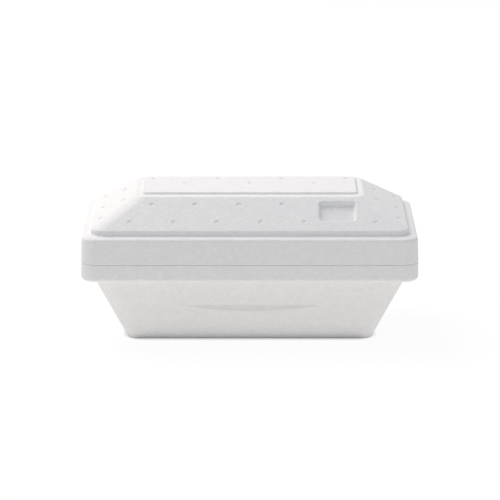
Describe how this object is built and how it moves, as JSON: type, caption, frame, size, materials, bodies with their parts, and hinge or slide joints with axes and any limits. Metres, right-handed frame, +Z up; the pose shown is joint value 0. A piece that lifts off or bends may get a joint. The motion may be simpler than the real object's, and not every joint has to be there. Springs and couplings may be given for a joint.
{
  "type": "foam ice cream tub",
  "caption": "Rectangular takeaway ice cream tub in white bead foam: tapered insulated body with a thick rim, and a hipped lift-off lid with a raised flat top.",
  "frame": {"origin": "middle of the flat base, on the surface that the tub stands on", "axes": "+X along the length, +Y towards the back, +Z up through the lid"},
  "size_m": [0.205, 0.115, 0.091],
  "materials": {
    "tub_foam": "moulded white bead foam, matt",
    "lid_foam": "moulded white bead foam, matt"
  },
  "bodies": {
    "tub": {"tub": "tub_foam"},
    "lid": {"lid": "lid_foam"}
  },
  "joints": [
    {"name": "lid_lift", "type": "slide", "parent": "tub", "child": "lid", "axis": [0, 0, 1], "range_m": [0, 0.1]}
  ]
}
